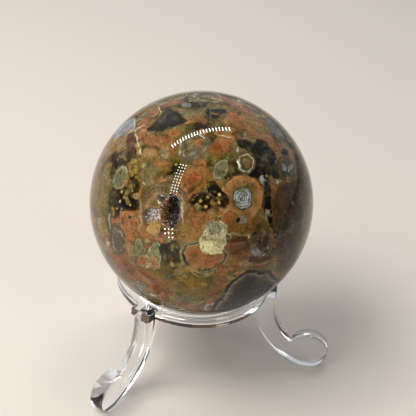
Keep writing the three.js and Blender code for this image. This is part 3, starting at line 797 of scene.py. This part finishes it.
def finish_group():
    """Mottling, grain, beads and specks over the markings, and how rough the polish is."""
    tree = Group("stone_finish", (("place", "vector"), ("colour", "colour")),
                 (("colour", "colour"), ("roughness", "number")))
    place = tree.inputs["place"]
    colour = tree.inputs["colour"]
    for size, stops in ((2.6, SEEP), (4.2, PALE)):
        layer = tree.ramp(tree.noise(place, size, detail=6, roughness=0.7), stops)
        colour = tree.mix(layer.outputs["Alpha"], colour, layer.outputs["Color"])
    clouds = tree.ramp(tree.noise(place, CLOUD_SIZE, detail=6, roughness=0.72), CLOUDS).outputs["Color"]
    colour = tree.mix(CLOUD_SHARE, colour, clouds, blend="MULTIPLY")
    grain = tree.ramp(tree.noise(place, GRAIN_SIZE, detail=4, roughness=0.7), GRAIN).outputs["Color"]
    colour = tree.mix(GRAIN_SHARE, colour, grain, blend="MULTIPLY")
    red, _, blue = tree.parts(tree.inputs["colour"])
    dark = tree.math("MULTIPLY_ADD", red, *BEAD_DARKNESS, clamp=True)
    olive = tree.math("MULTIPLY_ADD", tree.math("DIVIDE", blue, red), *BEAD_OLIVE, clamp=True)
    where = tree.math("MULTIPLY", dark, olive)
    uneven = bent(tree, place, *BEAD_BEND)
    colour = scattered(tree, colour, uneven, BEAD_SPACING, BEAD_ABSENCE, SMALL_BEAD, where)
    colour = scattered(tree, colour, place, SPECK_SPACING, SPECK_ABSENCE, SPECK, 1.0)
    brightness = tree.vector("DOT_PRODUCT", colour, tuple(share / STONE_MIDDLE for share in LUMINANCE))
    colour = tree.scaled(colour, tree.math("POWER", brightness, STONE_CONTRAST))
    polish = tree.noise(place, 3.0, detail=3)
    return tree.finish(colour, tree.math("MULTIPLY", polish, STONE_ROUGHNESS))


def near(mark, region):
    """Whether a marking reaches into a region of the front, with a margin for its bent edge."""
    left, top, right, bottom = region
    if mark[0] in POLYGONS:
        corners = POLYGONS[mark[0]][0]
        reach = [min(c[0] for c in corners), min(c[1] for c in corners),
                 max(c[0] for c in corners), max(c[1] for c in corners)]
    else:
        across, down, wide, high, turn = mark[1:6]
        cosine, sine = math.cos(math.radians(turn)), math.sin(math.radians(turn))
        beside, above = math.hypot(wide * cosine, high * sine), math.hypot(wide * sine, high * cosine)
        reach = [across - beside, down - above, across + beside, down + above]
    return (reach[0] < right + REGION_MARGIN and reach[2] > left - REGION_MARGIN
            and reach[1] < bottom + REGION_MARGIN and reach[3] > top - REGION_MARGIN)


def stone_material(name, groups, region):
    """The polished stone: its ground, the markings that reach into a region, and its finish."""
    tree = Material(name)
    place = tree.vector("SUBTRACT", tree.place, tuple(STONE_CENTRE))

    def use(group, *values):
        node = tree.add("ShaderNodeGroup", node_tree=groups[group])
        for socket, value in zip(node.inputs, values):
            tree.put(socket, value)
        return node.outputs
    ground = use("ground", place)
    colour = ground["colour"]
    for mark in MARKINGS if region else ():
        if not near(mark, region):
            continue
        if mark[0] in POLYGONS:
            colour = use(mark[0], ground["flat"], colour)["colour"]
            continue
        kind, across, down, wide, high, turn, *colours = mark
        first, second = stone_colour(colours[0]), stone_colour(colours[-1])
        flat = ground["sharp"] if kind in ("line", "bands") else ground["flat"]
        middle = (*on_layout(across, down), 1)
        size = (wide / PIXELS_PER_MM, high / PIXELS_PER_MM, 1)
        colour = use(kind, flat, middle, (0, 0, math.radians(turn)), size, first, second, colour)["colour"]
    if region:
        colour = tree.mix(ground["front"], ground["colour"], colour)
    finish = use("finish", place, colour)
    tree.set(Base_Color=finish["colour"], Roughness=finish["roughness"], IOR=QUARTZ_IOR,
             Specular_IOR_Level=STONE_SPECULAR)
    return tree.material


def stone_materials():
    """One material for each region of the front, alike where they meet, and one for the back."""
    groups = {kind: ellipse_group(kind) for kind in RUNS}
    groups.update({name: polygon_group(name, *shape) for name, shape in POLYGONS.items()})
    groups["ground"] = ground_group()
    groups["finish"] = finish_group()
    regions = [(left, top, left + REGION_SIZE, top + REGION_SIZE)
               for top in REGION_STARTS for left in REGION_STARTS]
    made = [stone_material(f"polished_stone_{i}", groups, region) for i, region in enumerate(regions)]
    return made + [stone_material("polished_stone_back", groups, None)]


def region_of(point):
    """The number of the region that holds a place, given from the stone's centre."""
    if point.dot(LAYOUT_OUT) < BACK_DEPTH:
        return len(REGION_STARTS) ** 2
    from_camera = point - CAMERA_PLACE
    scale = FOCAL_PIXELS / from_camera.dot(CAMERA_FORWARD)
    across = FRAME_PIXELS / 2 + scale * from_camera.dot(CAMERA_RIGHT)
    down = FRAME_PIXELS / 2 - scale * from_camera.dot(CAMERA_UP)
    last = len(REGION_STARTS) - 1
    column, row = (min(last, max(0, int((v - REGION_STARTS[0]) // REGION_SIZE))) for v in (across, down))
    return row * len(REGION_STARTS) + column


# The stone and its pocket

def pocket_frame():
    """Turns a place measured across, up and out from the mouth's middle to the frame's."""
    out = Vector((
        math.cos(POCKET_ELEVATION) * math.cos(POCKET_AZIMUTH),
        math.cos(POCKET_ELEVATION) * math.sin(POCKET_AZIMUTH),
        math.sin(POCKET_ELEVATION),
    ))
    across = Vector((0, 0, 1)).cross(out).normalized()
    up = out.cross(across)
    turn = Matrix((across, up, out)).transposed().to_4x4()
    return Matrix.Translation(STONE_CENTRE + out * STONE_RADIUS) @ turn


def lobe_mesh(bm, place, radii):
    """Adds one rounded lobe of the pocket, with an uneven wall."""
    grown = bmesh.ops.create_icosphere(bm, subdivisions=POCKET_SUBDIVISIONS, radius=1.0)
    to_frame = pocket_frame()
    for vertex in grown["verts"]:
        direction = vertex.co.normalized()
        uneven = 1 + POCKET_LUMPINESS * noise.noise(direction * POCKET_LUMP_SCALE + Vector(place))
        shaped = Vector(c * r * uneven for c, r in zip(direction, radii)) + Vector(place)
        vertex.co = (to_frame @ shaped) * MM


def stone():
    """A ball with the pocket cut out of it, its polished face shaded exactly round."""
    bm = bmesh.new()
    bmesh.ops.create_icosphere(bm, subdivisions=STONE_SUBDIVISIONS, radius=STONE_RADIUS * MM)
    bmesh.ops.translate(bm, verts=bm.verts, vec=STONE_CENTRE * MM)
    ball = object_from(bm, "stone_whole")
    bm = bmesh.new()
    for lobe in POCKET_LOBES:
        lobe_mesh(bm, *lobe)
    cutter = object_from(bm, "pocket")
    cut = ball.modifiers.new("pocket", "BOOLEAN")
    cut.operation = "DIFFERENCE"
    cut.solver = "EXACT"
    cut.use_self = True
    cut.object = cutter
    mesh = applied(ball)
    for helper in (ball, cutter):
        bpy.data.objects.remove(helper)
    mesh.name = "thunderegg"
    mesh.materials.clear()
    for material in stone_materials():
        mesh.materials.append(material)
    mesh.materials.append(pocket_material("pocket_wall", 1.5, 4, WALL_GRAIN, 0.5, Roughness=0.35))

    centre = STONE_CENTRE * MM
    mesh.shade_smooth()
    normals = [Vector(n.vector) for n in mesh.corner_normals]
    for polygon in mesh.polygons:
        from_centre = (polygon.center - centre) / MM
        polished = from_centre.length > STONE_RADIUS - POLISHED_SKIN
        polygon.material_index = region_of(from_centre) if polished else len(mesh.materials) - 1
        for loop in polygon.loop_indices:
            if polished:
                normals[loop] = (mesh.vertices[mesh.loops[loop].vertex_index].co - centre).normalized()
            else:
                normals[loop] = polygon.normal.copy()
    mesh.normals_split_custom_set(normals)
    obj = bpy.data.objects.new("thunderegg", mesh)
    bpy.context.scene.collection.objects.link(obj)
    return obj


def hex_crystal(radius, length, vertices, faces, to_place):
    """Adds one six-sided quartz point, open at its root."""
    start = len(vertices)
    for level, reach in ((0, radius), (length - CRYSTAL_TIP * radius, radius * CRYSTAL_TAPER)):
        for k in range(6):
            angle = k * math.pi / 3
            vertices.append(to_place @ Vector((reach * math.cos(angle), reach * math.sin(angle), level)))
    vertices.append(to_place @ Vector((0, 0, length)))
    for k in range(6):
        n = (k + 1) % 6
        faces.append((start + k, start + n, start + 6 + n, start + 6 + k))
        faces.append((start + 6 + k, start + 6 + n, start + 12))


def in_lobe(point, lobe, inset):
    place, radii = lobe
    return sum(((p - c) / (r - inset)) ** 2 for p, c, r in zip(point, place, radii)) < 1


def crust():
    """The crystals that line the pocket: one crowded druse grown inwards from its wall."""
    draw = random.Random(CRYSTAL_SEED)
    to_frame = pocket_frame()
    vertices, faces = [], []

    def anyhow():
        return Vector([draw.gauss(0, 1) for _ in range(3)])
    for lobe, count, scale in zip(POCKET_LOBES, CRYSTALS_PER_LOBE, CRYSTAL_SCALE):
        place, radii = lobe
        for _ in range(count):
            direction = anyhow().normalized()
            radius = draw.uniform(*CRYSTAL_RADIUS) * scale
            length = draw.uniform(*CRYSTAL_LENGTH) * scale
            wall = Vector(d * (r - CRYSTAL_ROOT) for d, r in zip(direction, radii)) + Vector(place)
            inward = -Vector(d / r for d, r in zip(direction, radii)).normalized()
            aim = (inward + anyhow() * CRYSTAL_LEAN).normalized()
            if any(in_lobe(wall, other, LOBE_OVERLAP) for other in POCKET_LOBES if other is not lobe):
                continue
            tip = to_frame @ (wall + aim * length) - STONE_CENTRE
            root = to_frame @ wall - STONE_CENTRE
            if max(tip.length, root.length) > STONE_RADIUS - CRUST_TRIM:
                continue
            turn = aim.to_track_quat("Z", "Y").to_matrix().to_4x4()
            spin = Matrix.Rotation(draw.uniform(0, math.pi / 3), 4, "Z")
            hex_crystal(radius, length, vertices, faces, to_frame @ Matrix.Translation(wall) @ turn @ spin)
    quartz = pocket_material("quartz", 1.2, 3, CRYSTAL_GRAIN, 0.3,
                             Roughness=0.12, IOR=QUARTZ_IOR, Transmission_Weight=0.1)
    return mesh_object("quartz_druse", vertices, faces, quartz)


# The stand

def offset_outline(points, distance):
    """The closed outline drawn in by a distance, with square corners. Points run anticlockwise."""
    moved = []
    for i, point in enumerate(points):
        before = (point - points[i - 1]).normalized()
        after = (points[(i + 1) % len(points)] - point).normalized()
        left_before = Vector((-before.y, before.x))
        left_after = Vector((-after.y, after.x))
        bisector = (left_before + left_after).normalized()
        moved.append(point + bisector * distance / max(CORNER_LIMIT, bisector.dot(left_after)))
    return moved


def arc(centre, radius, start, end, steps):
    return [
        Vector((centre[0] + radius * math.cos(start + (end - start) * i / steps),
                centre[1] + radius * math.sin(start + (end - start) * i / steps)))
        for i in range(steps + 1)
    ]


def leg_outline():
    """The leg's outline in the upright plane through the stand's axis, anticlockwise."""
    under = BEND_RADIUS + LEG_WIDTH / 2
    upper = BEND_RADIUS - LEG_WIDTH / 2
    foot_from_bend = under - FOOT_RADIUS
    bend_x = LEG_INNER_RADIUS + LEG_WIDTH / 2 + BEND_RADIUS
    foot = Vector((bend_x - foot_from_bend * math.cos(BEND_ANGLE), FOOT_RADIUS * math.sin(BEND_ANGLE)))
    bend = Vector((bend_x, foot.y + foot_from_bend * math.sin(BEND_ANGLE)))
    top = bend.y + LEG_STRAIGHT
    reach = (upper ** 2 + foot_from_bend ** 2 - FOOT_RADIUS ** 2) / (2 * upper * foot_from_bend)
    notch_angle = math.pi + BEND_ANGLE - math.acos(reach)
    notch = bend + upper * Vector((math.cos(notch_angle), math.sin(notch_angle)))
    foot_end = math.atan2(notch.y - foot.y, notch.x - foot.x)
    points = [Vector((LEG_INNER_RADIUS, top))]
    points += arc(bend, under, math.pi, math.pi + BEND_ANGLE, BEND_STEPS)
    points += arc(foot, FOOT_RADIUS, -BEND_ANGLE, foot_end, FOOT_STEPS)
    points += arc(bend, upper, notch_angle, math.pi, BEND_STEPS)[1:]
    points.append(Vector((LUG_REACH, top)))
    return points


def rounded(radius):
    """Steps over a rounded edge: how far each is drawn in, and how far it is from the face."""
    angles = [math.pi / 2 * i / ROUNDING_STEPS for i in range(ROUNDING_STEPS + 1)]
    return [(radius * (1 - math.sin(angle)), radius * (1 - math.cos(angle))) for angle in angles]


def slab(name, outline, half, rounding, to_frame, material):
    """A flat shape cut from sheet, with its edges rounded."""
    levels = [(depth - half, inset) for inset, depth in rounded(rounding)]
    levels += [(-height, inset) for height, inset in reversed(levels)]
    count = len(outline)
    vertices = [to_frame(point.x, point.y, height)
                for height, inset in levels for point in offset_outline(outline, inset)]
    faces = []
    for level in range(len(levels) - 1):
        for i in range(count):
            n = (i + 1) % count
            a, b = level * count, (level + 1) * count
            faces.append((a + i, a + n, b + n, b + i))
    flat = [Vector((p.x, p.y, 0)) for p in offset_outline(outline, rounding)]
    last = (len(levels) - 1) * count
    for triangle in tessellate_polygon([flat]):
        faces.append(tuple(triangle))
        faces.append(tuple(last + i for i in reversed(triangle)))
    return outward(mesh_object(name, vertices, faces, material), LEG_SHARP_ANGLE)


def leg(name, azimuth, material):
    turn = Matrix.Rotation(math.radians(azimuth), 3, "Z")
    axis = Vector((STONE_CENTRE.x, STONE_CENTRE.y, 0))

    def to_frame(out, up, across):
        return axis + turn @ Vector((out, across, up))
    outline = offset_outline(leg_outline(), LEG_CLEARANCE)
    return slab(name + "_acrylic", outline, LEG_THICKNESS / 2, EDGE_ROUNDING, to_frame, material)


def ring_outline():
    """The ring's outer edge with its three square lugs, anticlockwise from above."""
    half = LUG_WIDTH / 2
    root_angle = math.asin(half / RING_OUTER_RADIUS)
    root = RING_OUTER_RADIUS * math.cos(root_angle)
    lug_side = [root + (LUG_REACH - root) * i / LUG_SIDE_STEPS for i in range(1, LUG_SIDE_STEPS)]
    points = []
    for azimuth in sorted(LEG_AZIMUTHS.values()):
        turn = Matrix.Rotation(math.radians(azimuth), 2)
        local = [Vector((x, -half)) for x in lug_side]
        local += [Vector((LUG_REACH, LUG_WIDTH * i / LUG_END_STEPS - half)) for i in range(LUG_END_STEPS + 1)]
        local += [Vector((x, half)) for x in reversed(lug_side)]
        points += [turn @ p for p in local]
        start = math.radians(azimuth) + root_angle
        end = math.radians(azimuth + 360 / len(LEG_AZIMUTHS)) - root_angle
        points += arc((0, 0), RING_OUTER_RADIUS, start, end, RING_STEPS)
    return points


def ring(material):
    """The flat ring with its sloping seat, as loops of points joined from one to the next."""
    outline = ring_outline()
    angles = [math.atan2(p.y, p.x) for p in outline]
    reach = STONE_RADIUS + SEAT_GAP
    slope = math.asin(SEAT_CONTACT_RADIUS / reach)
    contact_height = STONE_CENTRE.z - reach * math.cos(slope)
    seat_top = SEAT_CONTACT_RADIUS + (RING_TOP - contact_height) / math.tan(slope)
    seat_foot = contact_height - (SEAT_CONTACT_RADIUS - RING_INNER_RADIUS) * math.tan(slope)

    def circle(radius, height):
        return [Vector((radius * math.cos(a), radius * math.sin(a), height)) for a in angles]

    def edge(inset, height):
        return [Vector((p.x, p.y, height)) for p in offset_outline(outline, inset)]

    loops = [circle(RING_INNER_RADIUS, RING_BOTTOM + RING_ROUNDING), circle(RING_INNER_RADIUS, seat_foot),
             circle(seat_top, RING_TOP)]
    loops += [edge(inset, RING_TOP - depth) for inset, depth in rounded(RING_ROUNDING)]
    loops += [edge(depth, RING_BOTTOM + inset) for inset, depth in rounded(RING_ROUNDING)]
    loops.append(circle(RING_INNER_RADIUS + RING_ROUNDING, RING_BOTTOM))
    axis = Vector((STONE_CENTRE.x, STONE_CENTRE.y, 0))
    vertices = [axis + p for loop in loops for p in loop]
    count = len(outline)
    faces = []
    for level in range(len(loops)):
        a, c = level * count, (level + 1) % len(loops) * count
        for i in range(count):
            n = (i + 1) % count
            faces.append((a + i, c + i, c + n, a + n))
    return outward(mesh_object("stand_ring_acrylic", vertices, faces, material), RING_SHARP_ANGLE)


# Floor, lights and camera

def floor():
    tree = Material("pale_floor")
    tree.set(Base_Color=FLOOR_COLOUR, Roughness=FLOOR_ROUGHNESS)
    corners = [(a * FLOOR_REACH, b * FLOOR_REACH, 0) for a, b in SQUARE]
    obj = mesh_object("floor", corners, [(0, 1, 2, 3)], tree.material)


def softbox(name, direction, distance, width, height, watts, colour):
    """An area light that faces the stone from a direction and leaves no glint on it."""
    light = bpy.data.lights.new(name, "AREA")
    light.shape = "RECTANGLE"
    light.size = width * MM
    light.size_y = height * MM
    light.energy = watts
    light.color = colour
    obj = bpy.data.objects.new(name, light)
    away = Vector(direction).normalized()
    obj.location = (STONE_CENTRE + away * distance) * MM
    obj.rotation_mode = "QUATERNION"
    obj.rotation_quaternion = away.to_track_quat("Z", "Y")
    obj.visible_glossy = False
    bpy.context.scene.collection.objects.link(obj)
    return obj


def mirrored(across, down, distance):
    """The place, at a distance from the ball, whose reflection shows at a pixel."""
    ray, hit = towards(across, down)
    normal = hit.normalized()
    return hit + (ray - normal * 2 * ray.dot(normal)) * distance


def lamp_row(name, start, end, bow, count, across_size, along_size):
    """A row of small lamps above the stone that shows as a row of glints between two pixels."""
    vertices, faces = [], []
    for i in range(count):
        share = i / (count - 1)
        pixel = Vector(start).lerp(Vector(end), share) + Vector(bow) * 4 * share * (1 - share)
        along = (Vector(end) - Vector(start)).normalized()
        aside = Vector((-along.y, along.x))
        first = len(vertices)
        for a, b in SQUARE:
            corner = pixel + along * along_size * a + aside * across_size * b
            vertices.append(STONE_CENTRE + mirrored(*corner, LAMP_DISTANCE))
        faces.append(tuple(range(first, first + 4)))
    glow = Material(name)
    glow.set(Base_Color=(1, 1, 1, 1), Emission_Color=(1, 1, 1, 1), Emission_Strength=LAMP_STRENGTH)
    mesh_object(name, vertices, faces, glow.material)


def lights(stand):
    """A pale studio: soft lights, small lamps, two lights for the clear stand, and a dim sky."""
    scene = bpy.context.scene
    scene.view_settings.view_transform = "Standard"
    world = bpy.data.worlds.new("studio")
    world.use_nodes = True
    nodes, links = world.node_tree.nodes, world.node_tree.links
    nodes["Background"].inputs["Color"].default_value = SKY_COLOUR
    place = nodes.new("ShaderNodeTexCoord")
    parts = nodes.new("ShaderNodeSeparateXYZ")
    glow = nodes.new("ShaderNodeMapRange")
    for name, value in SKY_GLOW:
        glow.inputs[name].default_value = value
    links.new(place.outputs["Generated"], parts.inputs["Vector"])
    links.new(parts.outputs["Y"], glow.inputs["Value"])
    links.new(glow.outputs["Result"], nodes["Background"].inputs["Strength"])
    scene.world = world
    for light in SOFT_LIGHTS:
        softbox(*light)
    for row in LAMP_ROWS:
        lamp_row(*row)
    receivers = bpy.data.collections.new("clear_stand")
    for piece in stand:
        receivers.objects.link(piece)
    for light in STAND_LIGHTS:
        glow = softbox(*light)
        glow.visible_glossy = True
        glow.light_linking.receiver_collection = receivers


def camera():
    data = bpy.data.cameras.new("camera")
    data.sensor_width = SENSOR_WIDTH
    data.lens = FOCAL_PIXELS / FRAME_PIXELS * SENSOR_WIDTH
    data.clip_start, data.clip_end = CAMERA_CLIP
    obj = bpy.data.objects.new("camera", data)
    turn = Matrix((CAMERA_RIGHT, CAMERA_UP, -CAMERA_FORWARD)).transposed()
    obj.matrix_world = Matrix.Translation((STONE_CENTRE + CAMERA_PLACE) * MM) @ turn.to_4x4()
    bpy.context.scene.collection.objects.link(obj)
    bpy.context.scene.camera = obj


def build():
    pieces = []
    polished = stone()
    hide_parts("stone")
    druse = crust()
    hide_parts("vug_crystals")
    acrylic = clear_acrylic()
    band = ring(acrylic)
    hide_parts("stand_ring")
    pieces += [polished, druse, band]
    for name, azimuth in LEG_AZIMUTHS.items():
        one = leg(name, azimuth, acrylic)
        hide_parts(name)
        pieces.append(one)
    for piece in pieces:
        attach(piece, "root")
    floor()
    lights(pieces[2:])
    camera()


build()
